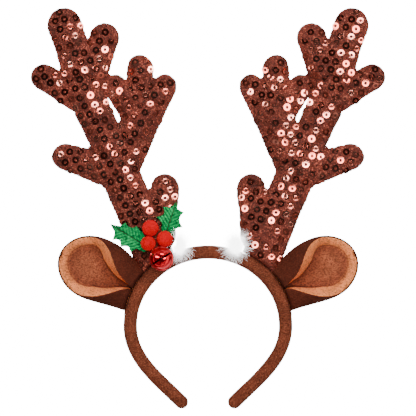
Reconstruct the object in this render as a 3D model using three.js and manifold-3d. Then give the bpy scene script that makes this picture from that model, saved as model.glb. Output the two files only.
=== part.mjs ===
// A plush reindeer headband: a padded hoop open at its lower ends, two stuffed antlers, two folded ears,
// two fur puffs and a holly sprig with a jingle bell. Millimetres. It lies on its back on z = 0, with its
// front up: X runs across the head, Y from the hoop's open ends to the antler tips, Z from back to front.
import * as THREE from 'three';
import { mergeVertices } from 'three/addons/utils/BufferGeometryUtils.js';
import Module from 'manifold-3d';

const wasm = await Module();
wasm.setup();

// Clearance kept between neighbouring pieces.
const clearance = 0.3;

// The padded hoop: its outer size, its two open ends and its padded section.
const bandWidth = 150.6;
const bandArch = 71.8;
const bandDrop = 67.6;
const bandEndSpread = 47.2;
const bandThickness = 12.2;
const bandDepth = 17;

// The antlers: how far each reaches out and up from its foot on the hoop, and how it is stuffed.
const antlerReach = 133.5;
const antlerHeight = 225;
const antlerTrunk = 35.6;
const antlerFlatness = 0.46;
const antlerSeatAngle = 126;

// The ears: folded cones, each a thick outer cloth with a padded lining nested in it.
const earLength = 73;
const earWidth = 56.6;
const earFoot = 41;
const earLean = 5;
const earCup = 15;
const earTilt = 21.5;
const earSeatAngle = 31;
const earWall = 1.8;
const liningWall = 1.6;
const liningBorder = 3.4;
const liningBorderWidth = 7;

// The white fur puffs at the inner foot of each antler.
const puffRadius = 8.5;
const puffLock = 10;
const puffSeatAngle = 111;

// The holly sprig: two folded leaves, three pompom berries and a jingle bell.
const leafWall = 1;
const outerLeafLength = 38.5;
const upperLeafLength = 31;
const leafFold = 1.6;
const berryTop = 13.6;
const berryLeft = 11.8;
const berryRight = 12.2;
const bellDiameter = 21.6;
const bellWall = 0.8;
const bellRim = 1.3;
const bellSlit = 1.5;
const bellSlitLength = 19;
const bellStand = 1.8;
const bellSink = 0.2;
const bellLoop = 1.1;
const bellWire = 0.8;
const pelletDiameter = 6;

const degrees = Math.PI / 180;

// Turns a geometry into one closed solid, with its shared corners merged and collapsed triangles left out.
function solid(geometry) {
  const bare = geometry.clone();
  bare.deleteAttribute('normal');
  bare.deleteAttribute('uv');
  const merged = mergeVertices(bare, 1e-4);
  const index = Array.from(merged.index.array);
  const kept = [];
  for (let i = 0; i < index.length; i += 3) {
    const [a, b, c] = index.slice(i, i + 3);
    if (a !== b && b !== c && a !== c) {
      kept.push(a, b, c);
    }
  }
  return new wasm.Manifold(new wasm.Mesh({
    numProp: 3,
    vertProperties: Float32Array.from(merged.attributes.position.array),
    triVerts: Uint32Array.from(kept),
  }));
}

// The way back: a solid's corners and triangles as a three.js geometry.
function geometryOf(body) {
  const mesh = body.getMesh();
  const geometry = new THREE.BufferGeometry();
  geometry.setAttribute('position', new THREE.BufferAttribute(Float32Array.from(mesh.vertProperties), 3));
  geometry.setIndex(Array.from(mesh.triVerts));
  return geometry;
}

// Keeps the largest of the loose bodies that a cut leaves.
function largest(body) {
  const bodies = body.decompose();
  bodies.sort((a, b) => b.volume() - a.volume());
  return bodies[0];
}

// Skins rings of equal length into a closed tube with a fan over each end.
function loft(rings) {
  const sides = rings[0].length;
  const points = rings.flat();
  const faces = [];
  for (let i = 0; i + 1 < rings.length; i += 1) {
    for (let j = 0; j < sides; j += 1) {
      const a = i * sides + j;
      const b = i * sides + (j + 1) % sides;
      faces.push(a, b, b + sides, a, b + sides, a + sides);
    }
  }
  for (const [start, flip] of [[0, true], [(rings.length - 1) * sides, false]]) {
    const middle = new THREE.Vector3();
    for (let j = 0; j < sides; j += 1) {
      middle.addScaledVector(points[start + j], 1 / sides);
    }
    points.push(middle);
    for (let j = 0; j < sides; j += 1) {
      const a = start + j;
      const b = start + (j + 1) % sides;
      faces.push(...(flip ? [b, a, points.length - 1] : [a, b, points.length - 1]));
    }
  }
  const geometry = new THREE.BufferGeometry().setFromPoints(points);
  geometry.setIndex(faces);
  return geometry;
}

// Skins an outer and an inner grid of points into a cloth wall: each grid is rows of equal length, and
// the wall closes along both long edges and at both ends. Both grids split their squares the same way, so
// that nested walls stay parallel.
function clothWall(outer, inner) {
  const rings = outer.map((row, i) => [...row, ...inner[i].slice().reverse()]);
  const sides = rings[0].length;
  const columns = outer[0].length;
  const points = rings.flat();
  const faces = [];
  for (let i = 0; i + 1 < rings.length; i += 1) {
    for (let j = 0; j < sides; j += 1) {
      const a = i * sides + j;
      const b = i * sides + (j + 1) % sides;
      if (j < columns) {
        faces.push(a, b, b + sides, a, b + sides, a + sides);
      } else {
        faces.push(a, b, a + sides, b, b + sides, a + sides);
      }
    }
  }
  for (const [start, flip] of [[0, true], [(rings.length - 1) * sides, false]]) {
    for (let j = 0; j + 1 < columns; j += 1) {
      const a = start + j;
      const b = start + j + 1;
      const c = start + sides - 2 - j;
      const d = start + sides - 1 - j;
      faces.push(...(flip ? [b, a, c, a, d, c] : [a, b, c, a, c, d]));
    }
  }
  const geometry = new THREE.BufferGeometry().setFromPoints(points);
  geometry.setIndex(faces);
  return geometry;
}

// Linear reading of a table column at a share along it.
function read(table, column, at) {
  const last = table.length - 1;
  for (let i = 0; i < last; i += 1) {
    if (at <= table[i + 1].at) {
      const part = (at - table[i].at) / (table[i + 1].at - table[i].at);
      return table[i][column] + (table[i + 1][column] - table[i][column]) * Math.max(0, part);
    }
  }
  return table[last][column];
}

// The hoop's centre line: an elliptical arch, then a side that swings in to an open end on each side.
const archHalf = (bandWidth - bandThickness) / 2;
const archRise = bandArch - bandThickness / 2;
const bandMiddle = bandDepth / 2;

function hoopLine(side) {
  const line = new THREE.CurvePath();
  line.add(new THREE.CubicBezierCurve3(
    new THREE.Vector3(0, archRise, bandMiddle),
    new THREE.Vector3(side * archHalf * 0.552, archRise, bandMiddle),
    new THREE.Vector3(side * archHalf, archRise * 0.552, bandMiddle),
    new THREE.Vector3(side * archHalf, 0, bandMiddle),
  ));
  line.add(new THREE.CubicBezierCurve3(
    new THREE.Vector3(side * archHalf, 0, bandMiddle),
    new THREE.Vector3(side * archHalf, -bandDrop * 0.42, bandMiddle),
    new THREE.Vector3(side * (archHalf + bandEndSpread / 2) * 0.485, -bandDrop * 0.69, bandMiddle),
    new THREE.Vector3(side * bandEndSpread / 2, -bandDrop, bandMiddle),
  ));
  return line;
}

// The padded section is a rounded box, thinner toward the rounded ends of the hoop.
function hoop(grow) {
  const stations = 22;
  const sides = 12;
  const square = 2 / 2.6;
  const line = hoopLine(1);
  const half = [];
  for (let i = 0; i <= stations; i += 1) {
    const at = (i + 0.5) / (stations + 0.5);
    half.push({ point: line.getPointAt(at), along: line.getTangentAt(at), share: 1 });
  }
  const end = half[stations];
  const reach = bandThickness / 2;
  for (const angle of [35, 62, 84]) {
    half.push({
      point: end.point.clone().addScaledVector(end.along, (reach + grow) * Math.sin(angle * degrees)),
      along: end.along,
      share: Math.cos(angle * degrees),
    });
  }
  const mirrored = half.slice().reverse().map(({ point, along, share }) => ({
    point: new THREE.Vector3(-point.x, point.y, point.z),
    along: new THREE.Vector3(along.x, -along.y, 0),
    share,
  }));
  const rings = [...mirrored, ...half].map(({ point, along, share }) => {
    const out = new THREE.Vector3(-along.y, along.x, 0);
    const ring = [];
    for (let j = 0; j < sides; j += 1) {
      const turn = (j + 0.5) / sides * 2 * Math.PI;
      const across = Math.sign(Math.cos(turn)) * Math.abs(Math.cos(turn)) ** square;
      const up = Math.sign(Math.sin(turn)) * Math.abs(Math.sin(turn)) ** square;
      ring.push(point.clone()
        .addScaledVector(out, across * (bandThickness / 2 + grow) * share)
        .add(new THREE.Vector3(0, 0, up * (bandDepth / 2 + grow) * (1 - (1 - share) * 0.6))));
    }
    return ring;
  });
  return solid(loft(rings));
}

// A point on the hoop's outer edge, by its angle round the arch.
function hoopEdge(angle, out = 0) {
  return new THREE.Vector3(
    (bandWidth / 2 + out) * Math.cos(angle * degrees),
    (bandArch + out) * Math.sin(angle * degrees),
    0,
  );
}

const band = hoop(0);
const bandCutter = hoop(clearance);

// What lies inside a line along the hoop, so that nothing sewn on its outside reaches over it.
function headSpace(out) {
  const outline = new THREE.Shape();
  outline.absellipse(0, 0, archHalf + out, archRise + out, -0.6, Math.PI + 0.6, false);
  outline.closePath();
  const geometry = new THREE.ExtrudeGeometry(outline, {
    depth: 6 * bandDepth,
    bevelEnabled: false,
    curveSegments: 40,
  });
  geometry.translate(0, 0, -2 * bandDepth);
  return solid(geometry);
}

const footCutter = bandCutter.add(headSpace(0));
const antlerFootCutter = bandCutter.add(headSpace(bandThickness * 0.36));

// Antler limbs, as shares: out of antlerReach, up of antlerHeight, and root and tip of half antlerTrunk.
const limbs = [
  { name: 'trunk', out: 0.013, up: -0.008, toOut: 0.26, toUp: 0.354, root: 0.97, tip: 0.98 },
  { name: 'lower inner tine', out: 0.005, up: 0.099, toOut: -0.043, toUp: 0.287, root: 0.88, tip: 0.71 },
  { name: 'lower outer tine', out: 0.357, up: 0.361, toOut: 0.629, toUp: 0.412, root: 0.83, tip: 0.64 },
  { name: 'upper stem', out: 0.303, up: 0.425, toOut: 0.503, toUp: 0.68, root: 0.87, tip: 0.89 },
  { name: 'outer tine', out: 0.523, up: 0.642, toOut: 0.767, toUp: 0.728, root: 0.72, tip: 0.65 },
  { name: 'top tine', out: 0.53, up: 0.759, toOut: 0.627, toUp: 0.933, root: 0.86, tip: 0.85 },
  { name: 'second tine', out: 0.443, up: 0.727, toOut: 0.362, toUp: 0.884, root: 0.75, tip: 0.74 },
  { name: 'inner stem', out: 0.223, up: 0.375, toOut: 0.11, toUp: 0.569, root: 0.8, tip: 0.99 },
  { name: 'inner left tine', out: 0.13, up: 0.577, toOut: 0.293, toUp: 0.695, root: 0.9, tip: 0.545 },
  { name: 'inner middle tine', out: 0.123, up: 0.613, toOut: 0.123, toUp: 0.763, root: 0.65, tip: 0.66 },
  { name: 'inner right tine', out: 0.07, up: 0.573, toOut: -0.043, toUp: 0.692, root: 0.75, tip: 0.61 },
];

// A stuffed limb: a round-ended taper, flattened front to back and laid so that its back is level.
function limb(from, to, root, tip) {
  const axis = to.clone().sub(from);
  const length = axis.length();
  const slope = Math.asin((root - tip) / length);
  const profile = [];
  for (const part of [0, 1, 2, 3]) {
    const angle = -Math.PI / 2 + (slope + Math.PI / 2) * part / 3;
    profile.push(new THREE.Vector2(part ? root * Math.cos(angle) : 0, root * Math.sin(angle)));
  }
  for (const part of [0, 1, 2, 3]) {
    const angle = slope + (Math.PI / 2 - slope) * part / 3;
    profile.push(new THREE.Vector2(part < 3 ? tip * Math.cos(angle) : 0, length + tip * Math.sin(angle)));
  }
  const geometry = new THREE.LatheGeometry(profile, 10);
  const place = geometry.attributes.position;
  for (let i = 0; i < place.count; i += 1) {
    const middle = root + (tip - root) * place.getY(i) / length;
    place.setZ(i, antlerFlatness * (place.getZ(i) + middle));
  }
  geometry.rotateZ(Math.atan2(axis.y, axis.x) - Math.PI / 2);
  geometry.translate(from.x, from.y, 0);
  return solid(geometry);
}

const antlerFoot = hoopEdge(antlerSeatAngle);

// All the limbs joined; with a growth it is the room that its neighbours leave free.
function antler(grow) {
  let body = null;
  for (const row of limbs) {
    const from = new THREE.Vector3(-row.out * antlerReach, row.up * antlerHeight, 0).add(antlerFoot);
    const to = new THREE.Vector3(-row.toOut * antlerReach, row.toUp * antlerHeight, 0).add(antlerFoot);
    const root = row.root * antlerTrunk / 2 + grow / antlerFlatness;
    const tip = row.tip * antlerTrunk / 2 + grow / antlerFlatness;
    const part = limb(from, to, root, tip);
    body = body ? body.add(part) : part;
  }
  return body;
}

const antlerBody = largest(antler(0).subtract(antlerFootCutter));
const antlerRoom = antler(clearance);

// How an ear folds along its length: shares of a half turn to each rim, and the cup's depth of earCup.
const earFolds = [
  { at: 0, up: 0.975, down: 0.975, cup: 0.55 },
  { at: 0.07, up: 0.97, down: 0.955, cup: 0.62 },
  { at: 0.23, up: 0.945, down: 0.825, cup: 0.82 },
  { at: 0.33, up: 0.875, down: 0.74, cup: 0.93 },
  { at: 0.44, up: 0.745, down: 0.66, cup: 1 },
  { at: 0.56, up: 0.635, down: 0.585, cup: 0.98 },
  { at: 0.72, up: 0.52, down: 0.51, cup: 0.85 },
  { at: 1, up: 0.44, down: 0.44, cup: 0.45 },
];

// Half the ear's width at a share of its length, widest a little past the middle, round at the tip.
function earHalf(at) {
  const widest = 0.54;
  if (at < widest) {
    return (earFoot + (earWidth - earFoot) * Math.sin(Math.PI / 2 * Math.max(0, at) / widest)) / 2;
  }
  return earWidth / 2 * Math.sqrt(Math.max(0, 1 - ((at - widest) / (1 - widest)) ** 2));
}

// A row of points across the ear, sunk into the wall by a depth that may change toward the rims.
function earRow(at, sink, inset) {
  const columns = 12;
  const points = [];
  for (let j = 0; j <= columns; j += 1) {
    const part = 2 * j / columns - 1;
    const column = part > 0 ? 'up' : 'down';
    const rim = read(earFolds, column, at) * Math.PI - inset / (earWidth / 2);
    const turn = part * rim;
    const cup = read(earFolds, 'cup', at) * earCup;
    const edge = (1 - Math.abs(part)) * rim * earWidth / 2;
    const deep = sink(edge, at);
    const half = Math.max(0.4, earHalf(at) * (1 - deep / (earWidth / 2)));
    const bow = -earLean * Math.max(0, 1 - at / 0.45) ** 2;
    const along = at * (earLength - deep);
    points.push(new THREE.Vector3(
      along,
      half * Math.sin(turn) + bow,
      cup - Math.max(0.4, cup - deep) * Math.cos(turn),
    ));
  }
  return points;
}

// Stations along the ear, closer together toward its round tip; it starts inside the hoop and is cut there.
const earStations = [-0.09, 0, 0.09, 0.2, 0.31, 0.42, 0.53, 0.65, 0.77, 0.87, 0.94, 0.98, 0.995];

function earPiece(outerSink, innerSink, inset) {
  const outer = earStations.map((at) => earRow(at, outerSink, inset));
  const inner = earStations.map((at) => earRow(at, innerSink, inset));
  const geometry = clothWall(outer, inner);
  const seat = hoopEdge(earSeatAngle);
  geometry.rotateZ(earTilt * degrees);
  geometry.translate(seat.x, seat.y, 0);
  return largest(solid(geometry).subtract(footCutter).subtract(antlerRoom.mirror([1, 0, 0])));
}

const liningOuter = earWall + clearance;

function liningInner(edge, at) {
  const border = Math.max(0, 1 - edge / liningBorderWidth);
  const grown = Math.min(1, Math.max(0, (at - 0.05) / 0.25));
  return liningOuter + liningWall + (liningBorder - liningWall) * Math.min(1, border * 1.6) * grown;
}

const earShell = earPiece(() => 0, () => earWall, 0);
const earLining = earPiece(() => liningOuter, liningInner, 0.8);

// A tapered curled lock of fur, from a root on the puff's heart outward.
function lock(root, direction, length, width, curl) {
  const side = new THREE.Vector3(0, 0, 1).cross(direction);
  if (side.length() < 0.2) {
    side.set(1, 0, 0);
  }
  side.normalize();
  const across = direction.clone().cross(side).normalize();
  const rings = [];
  for (const [at, share] of [[0, 1], [0.55, 0.85], [1, 0.18]]) {
    const middle = root.clone()
      .addScaledVector(direction, length * at)
      .addScaledVector(side, curl * length * at * at);
    const ring = [];
    for (let j = 0; j < 4; j += 1) {
      const turn = j / 4 * 2 * Math.PI;
      ring.push(middle.clone()
        .addScaledVector(side, Math.cos(turn) * width * share)
        .addScaledVector(across, Math.sin(turn) * width * share));
    }
    rings.push(ring);
  }
  return solid(loft(rings));
}

// Evenly spread directions over a ball, by the golden angle.
function directions(count) {
  const list = [];
  for (let i = 0; i < count; i += 1) {
    const z = 1 - 2 * (i + 0.5) / count;
    const turn = i * 137.508 * degrees;
    const flat = Math.sqrt(1 - z * z);
    list.push(new THREE.Vector3(flat * Math.cos(turn), flat * Math.sin(turn), z));
  }
  return list;
}

// Holly leaf spikes along each side: at and reach are shares of the leaf's length.
const outerLeaf = {
  one: [
    { at: 0, reach: 0.1 }, { at: 0.22, reach: 0.28 }, { at: 0.48, reach: 0.33 }, { at: 0.72, reach: 0.35 },
    { at: 0.86, reach: 0.3 }, { at: 1, reach: 0.02 },
  ],
  other: [
    { at: 0, reach: 0.1 }, { at: 0.38, reach: 0.3 }, { at: 0.68, reach: 0.26 }, { at: 1, reach: 0.02 },
  ],
};
const upperLeaf = {
  one: [
    { at: 0, reach: 0.12 }, { at: 0.46, reach: 0.34 }, { at: 0.76, reach: 0.3 }, { at: 1, reach: 0.02 },
  ],
  other: [
    { at: 0, reach: 0.12 }, { at: 0.2, reach: 0.34 }, { at: 0.46, reach: 0.42 }, { at: 0.8, reach: 0.36 },
    { at: 1, reach: 0.02 },
  ],
};

// The reach of one side: sharp at the spikes, scooped between them.
function leafReach(spikes, at) {
  for (let i = 0; i + 1 < spikes.length; i += 1) {
    if (at <= spikes[i + 1].at) {
      const part = (at - spikes[i].at) / (spikes[i + 1].at - spikes[i].at);
      const straight = spikes[i].reach + (spikes[i + 1].reach - spikes[i].reach) * part;
      return straight * (1 - 0.36 * Math.sin(Math.PI * part));
    }
  }
  return spikes[spikes.length - 1].reach;
}

function leaf(spikes, length, foot, tip, grow = 0) {
  const marks = [...spikes.one, ...spikes.other].map((spike) => spike.at);
  for (let i = 0; i <= 14; i += 1) {
    marks.push(i / 14);
  }
  marks.sort((a, b) => a - b);
  const stations = marks.filter((at, i) => i === 0 || at - marks[i - 1] > 0.012);
  const columns = [-1, -0.5, 0, 0.5, 1];
  const rows = (drop) => stations.map((at) => columns.map((side) => {
    const reach = leafReach(side > 0 ? spikes.one : spikes.other, at) * length;
    const fold = leafFold * Math.abs(side) * (reach / (0.35 * length));
    const arch = 0.06 * length * Math.sin(Math.PI * at);
    return new THREE.Vector3(
      at * length + (at - 0.5) * 4 * grow,
      side * (Math.max(reach, 0.3) + 2 * grow),
      fold + arch + drop,
    );
  }));
  const geometry = clothWall(rows(-2 * grow), rows(leafWall + 2 * grow));
  geometry.rotateZ(Math.atan2(tip.y - foot.y, tip.x - foot.x));
  geometry.translate(foot.x, foot.y, foot.z);
  return geometry;
}

// Where the sprig sits: its middle is on the antler's front, beside the hoop.
const sprig = hoopEdge(antlerSeatAngle, 0);
const antlerFront = antlerTrunk * antlerFlatness;
const outerLeafLevel = antlerFront + clearance - 0.5;
const upperLeafLevel = antlerFront + clearance - 2.6;

function fromSprig(x, y, z) {
  return new THREE.Vector3(sprig.x + x * bellDiameter, sprig.y + y * bellDiameter, z);
}

const outerLeafPlace = [
  outerLeaf,
  outerLeafLength,
  fromSprig(-0.32, 0.5, outerLeafLevel),
  fromSprig(-1.97, 1.45, outerLeafLevel),
];
const upperLeafPlace = [
  upperLeaf,
  upperLeafLength,
  fromSprig(0.17, 1.08, upperLeafLevel),
  fromSprig(0.72, 2.37, upperLeafLevel),
];

// A pompom berry: a ball with short tufts fused all over it.
function berry(diameter, centre) {
  const radius = diameter / 2;
  const ball = new THREE.IcosahedronGeometry(radius * 0.88, 1);
  let body = solid(ball);
  for (const way of directions(12)) {
    const tuft = new THREE.CylinderGeometry(radius * 0.12, radius * 0.3, radius * 0.5, 4, 1);
    tuft.translate(0, radius * 0.75, 0);
    const turn = new THREE.Quaternion().setFromUnitVectors(new THREE.Vector3(0, 1, 0), way);
    tuft.applyQuaternion(turn);
    body = body.add(solid(tuft));
  }
  const geometry = geometryOf(body);
  geometry.translate(centre.x, centre.y, centre.z);
  return geometry;
}

const berryStack = leafWall + clearance + 0.4;
const leftLevel = outerLeafLevel + berryStack + berryLeft / 2;
const rightLevel = upperLeafLevel + berryStack - 0.4 + berryRight / 2;
const berries = [
  { name: 'berry_top', size: berryTop, centre: fromSprig(-0.3, 1.32, leftLevel - 1.8) },
  { name: 'berry_left', size: berryLeft, centre: fromSprig(-0.39, 0.7, leftLevel) },
  { name: 'berry_right', size: berryRight, centre: fromSprig(0.26, 0.88, rightLevel) },
];

// The jingle bell: a hollow ball with a raised rim round its middle and one slit across its front.
function bell(centre) {
  const outer = bellDiameter / 2;
  const inner = outer - bellWall;
  const profile = [];
  for (let i = 0; i <= 12; i += 1) {
    const angle = -Math.PI / 2 + Math.PI * i / 12;
    const rim = i === 6 ? bellRim : 0;
    profile.push(new THREE.Vector2(i % 12 ? (outer - bellRim * 0.5 + rim * 0.5) * Math.cos(angle) : 0,
      (outer - bellRim * 0.5) * Math.sin(angle)));
  }
  const shell = new THREE.LatheGeometry(profile, 16);
  shell.rotateX(Math.PI / 2);
  const hollow = new THREE.SphereGeometry(inner - bellRim * 0.5, 12, 7);
  const slit = new THREE.BoxGeometry(bellSlitLength, bellSlit, bellDiameter);
  slit.rotateZ(32 * degrees);
  slit.translate(0, 0, bellDiameter * 0.72);
  const loop = new THREE.TorusGeometry(bellLoop, bellWire / 2, 6, 10);
  loop.rotateX(Math.PI / 2);
  loop.translate(0, 0, clearance + bellLoop + bellWire / 2 - bellStand - outer);
  const body = solid(shell).subtract(solid(hollow)).subtract(solid(slit)).add(solid(loop));
  const geometry = geometryOf(body);
  geometry.translate(centre.x, centre.y, centre.z);
  return geometry;
}

const bellCentre = fromSprig(0.14, 0.09, bandDepth + bellDiameter / 2 - bellSink);
const bellGeometry = bell(bellCentre);
const pelletGeometry = new THREE.IcosahedronGeometry(pelletDiameter / 2, 1);
pelletGeometry.translate(
  bellCentre.x,
  bellCentre.y,
  bellCentre.z - bellDiameter / 2 + bellWall + bellRim / 2 + pelletDiameter / 2 + 3 * clearance,
);

// The ring of the hoop's inside that a puff can't reach.
const headPlugShape = new THREE.Shape();
headPlugShape.absellipse(0, 0, archHalf, archRise, 0, Math.PI, false);
headPlugShape.closePath();
const headPlugGeometry = new THREE.ExtrudeGeometry(headPlugShape, {
  depth: bandDepth,
  bevelEnabled: false,
  curveSegments: 40,
});
const headPlug = solid(headPlugGeometry);

// A fur puff: a ball with curled locks fused to it, trimmed to clear the hoop and the antler.
function puff() {
  const heart = hoopEdge(puffSeatAngle, puffRadius * 0.6).setZ(bandDepth - puffRadius * 0.12);
  const ball = new THREE.SphereGeometry(puffRadius, 10, 6);
  ball.translate(heart.x, heart.y, heart.z);
  let body = solid(ball);
  for (const [i, way] of directions(12).entries()) {
    const direction = way.clone().multiply(new THREE.Vector3(1, 1.25, 0.6)).normalize();
    const length = puffLock * (0.75 + 0.25 * Math.cos(i * 2.1));
    const root = heart.clone().addScaledVector(direction, puffRadius * 0.6);
    body = body.add(lock(root, direction, length, puffRadius * 0.3, 0.35 * Math.sin(i * 1.7)));
  }
  const floor = new THREE.BoxGeometry(8 * puffLock, 8 * puffLock, 2 * bandDepth);
  floor.translate(heart.x, heart.y, clearance - bandDepth);
  const keepOff = bandCutter.add(antlerRoom).add(solid(floor)).add(headPlug);
  return body.subtract(keepOff);
}

// The room that the sprig's pieces take up beside the left puff.
function sprigRoom() {
  const balls = berries.map(({ size, centre }) => ({ radius: size / 2 + clearance, centre }));
  balls.push({ radius: (bellDiameter + bellRim) / 2 + clearance, centre: bellCentre });
  let room = null;
  for (const { radius, centre } of balls) {
    const ball = new THREE.SphereGeometry(radius * 1.04, 12, 8);
    ball.translate(centre.x, centre.y, centre.z);
    room = room ? room.add(solid(ball)) : solid(ball);
  }
  for (const place of [outerLeafPlace, upperLeafPlace]) {
    room = room.add(solid(leaf(...place, clearance)));
  }
  return room;
}

const puffBody = puff();
const leftPuff = largest(puffBody.subtract(sprigRoom()));
const rightPuff = largest(puffBody);

// Cloth, fur and metal finishes.
const finish = {
  velour: new THREE.MeshStandardMaterial({ color: 0x6e3320, roughness: 0.9, metalness: 0 }),
  sequinCloth: new THREE.MeshStandardMaterial({ color: 0x7a3a30, roughness: 0.55, metalness: 0.1 }),
  earCloth: new THREE.MeshStandardMaterial({ color: 0x5f2a1a, roughness: 0.9, metalness: 0 }),
  liningCloth: new THREE.MeshStandardMaterial({ color: 0xb06a42, roughness: 0.9, metalness: 0 }),
  fur: new THREE.MeshStandardMaterial({ color: 0xf6f4f2, roughness: 0.95, metalness: 0 }),
  foil: new THREE.MeshStandardMaterial({ color: 0x1f8a4c, roughness: 0.3, metalness: 0.2 }),
  pompom: new THREE.MeshStandardMaterial({ color: 0xf0081e, roughness: 0.9, metalness: 0 }),
  bellMetal: new THREE.MeshStandardMaterial({ color: 0xc02030, roughness: 0.15, metalness: 1 }),
  steel: new THREE.MeshStandardMaterial({ color: 0x8a8a8a, roughness: 0.4, metalness: 1 }),
};

const headband = new THREE.Group();

function add(name, geometry, material) {
  const mesh = new THREE.Mesh(geometry, material);
  mesh.name = name;
  headband.add(mesh);
}

// The same piece on the other side of the head, turned inside out by the mirror and so rewound.
function mirror(geometry) {
  const other = geometry.clone();
  const place = other.attributes.position;
  for (let i = 0; i < place.count; i += 1) {
    place.setX(i, -place.getX(i));
  }
  const index = other.index.array;
  for (let i = 0; i < index.length; i += 3) {
    [index[i], index[i + 1]] = [index[i + 1], index[i]];
  }
  return other;
}

add('band', geometryOf(band), finish.velour);
const antlerGeometry = geometryOf(antlerBody);
add('antler_left', antlerGeometry, finish.sequinCloth);
add('antler_right', mirror(antlerGeometry), finish.sequinCloth);
const shellGeometry = geometryOf(earShell);
add('ear_shell_right', shellGeometry, finish.earCloth);
add('ear_shell_left', mirror(shellGeometry), finish.earCloth);
const liningGeometry = geometryOf(earLining);
add('ear_lining_right', liningGeometry, finish.liningCloth);
add('ear_lining_left', mirror(liningGeometry), finish.liningCloth);
add('fur_left', geometryOf(leftPuff), finish.fur);
add('fur_right', mirror(geometryOf(rightPuff)), finish.fur);
add('leaf_outer', leaf(...outerLeafPlace), finish.foil);
add('leaf_upper', leaf(...upperLeafPlace), finish.foil);
for (const { name, size, centre } of berries) {
  add(name, berry(size, centre), finish.pompom);
}
add('bell', bellGeometry, finish.bellMetal);
add('bell_pellet', pelletGeometry, finish.steel);

// The origin is under the middle of the whole headband, on the surface that it lies on.
const box = new THREE.Box3().setFromObject(headband);
headband.position.set(-(box.min.x + box.max.x) / 2, -(box.min.y + box.max.y) / 2, -box.min.z);
headband.updateMatrixWorld(true);

export default headband;
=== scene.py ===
# Looks of a plush reindeer headband that lies on its back: velour, sequinned cloth, fur, foil, pompoms
# and a jingle bell, built on the fixed frame. The scene is in metres; lengths in the code are in millimetres.
import math

import bmesh
import bpy
import numpy as np
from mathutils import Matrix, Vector, noise
from mathutils.bvhtree import BVHTree


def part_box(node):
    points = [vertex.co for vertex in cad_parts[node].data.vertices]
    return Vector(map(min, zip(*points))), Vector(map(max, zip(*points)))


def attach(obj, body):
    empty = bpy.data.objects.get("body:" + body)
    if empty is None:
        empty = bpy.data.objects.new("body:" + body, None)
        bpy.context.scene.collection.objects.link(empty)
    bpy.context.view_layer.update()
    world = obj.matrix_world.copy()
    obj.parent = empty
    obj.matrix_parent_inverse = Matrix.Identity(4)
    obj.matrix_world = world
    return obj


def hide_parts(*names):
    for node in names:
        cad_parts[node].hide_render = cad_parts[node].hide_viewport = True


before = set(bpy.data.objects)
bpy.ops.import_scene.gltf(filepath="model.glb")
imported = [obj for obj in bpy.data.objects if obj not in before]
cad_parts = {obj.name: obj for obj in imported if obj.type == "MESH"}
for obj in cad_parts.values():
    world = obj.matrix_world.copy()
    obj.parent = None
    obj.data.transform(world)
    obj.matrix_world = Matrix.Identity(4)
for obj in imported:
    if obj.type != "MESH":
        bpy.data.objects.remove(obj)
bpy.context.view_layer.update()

MM = 0.001

# The sizes that the pieces share with the frame's solids.
BAND_WIDTH = 150.6
BAND_ARCH = 71.8
BAND_DROP = 67.6
BAND_END_SPREAD = 47.2
BAND_THICKNESS = 12.2
BAND_DEPTH = 17.0
ANTLER_REACH = 133.5
ANTLER_HEIGHT = 225.0
ANTLER_TRUNK = 35.6
ANTLER_FLATNESS = 0.46
ANTLER_SEAT = 126.0
EAR_LENGTH = 73.0
EAR_WIDTH = 56.6
EAR_FOOT = 41.0
EAR_LEAN = 5.0
EAR_CUP = 15.0
EAR_TILT = 21.5
EAR_SEAT = 31.0
LINING_WALL = 1.6
BELL_DIAMETER = 21.6

# The sizes that only the looks have.
BAND_SQUARENESS = 2.5
PADDING_INSET = 0.1
SKIN_LIFT = 0.8
SKIN_VOXEL = 1.6
STUFFING_CAP = 1.5
SEQUIN = 6.3
SEQUIN_PITCH = 8.9
SEQUIN_RISE = 7.9
EAR_CLOTH = 1.0
LINING_SINK = EAR_CLOTH + 0.25
LINING_INSET = 0.9
FLOOR_GAP = 0.05

ARCH_HALF = (BAND_WIDTH - BAND_THICKNESS) / 2
ARCH_RISE = BAND_ARCH - BAND_THICKNESS / 2
FULL_TURN = 2 * math.pi


def box_mm(name):
    low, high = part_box(name)
    return np.array(low) / MM, np.array(high) / MM


def middle_of(name):
    return np.mean(box_mm(name), axis=0)


# The arch's middle, from the band's own box: the solids' frame has its origin under the whole box.
HOOP_Y = box_mm("band")[1][1] - BAND_ARCH


def tint(red, green, blue):
    """A colour as the share of red, green and blue light that it sends back."""
    return (red, green, blue, 1.0)


def unit(v):
    return v / np.maximum(np.linalg.norm(v, axis=-1, keepdims=True), 1e-12)


def smooth_step(x):
    x = np.clip(x, 0, 1)
    return x * x * (3 - 2 * x)


def turned(points, turn, foot=(0.0, 0.0)):
    """The points turned about the z axis and then moved in the plane."""
    out = points.copy()
    out[..., 0] = points[..., 0] * math.cos(turn) - points[..., 1] * math.sin(turn) + foot[0]
    out[..., 1] = points[..., 0] * math.sin(turn) + points[..., 1] * math.cos(turn) + foot[1]
    return out


# Nodes: a dictionary gives each socket, by name or place, either its value or the output to link to it.
def put(tree, made, sockets):
    for socket, value in sockets.items():
        if isinstance(value, bpy.types.NodeSocket):
            tree.links.new(value, made.inputs[socket])
        else:
            made.inputs[socket].default_value = value


def node(tree, kind, sockets=None, **settings):
    made = tree.nodes.new(kind)
    for key, value in settings.items():
        setattr(made, key, value)
    put(tree, made, sockets or {})
    return made


def object_place(tree):
    return node(tree, "ShaderNodeTexCoord").outputs["Object"]


def cloud(tree, scale, **sockets):
    """The grey of a noise texture, in object coordinates unless a vector is given."""
    values = {"Vector": object_place(tree), "Scale": scale}
    return node(tree, "ShaderNodeTexNoise", {**values, **sockets}).outputs[0]


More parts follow.
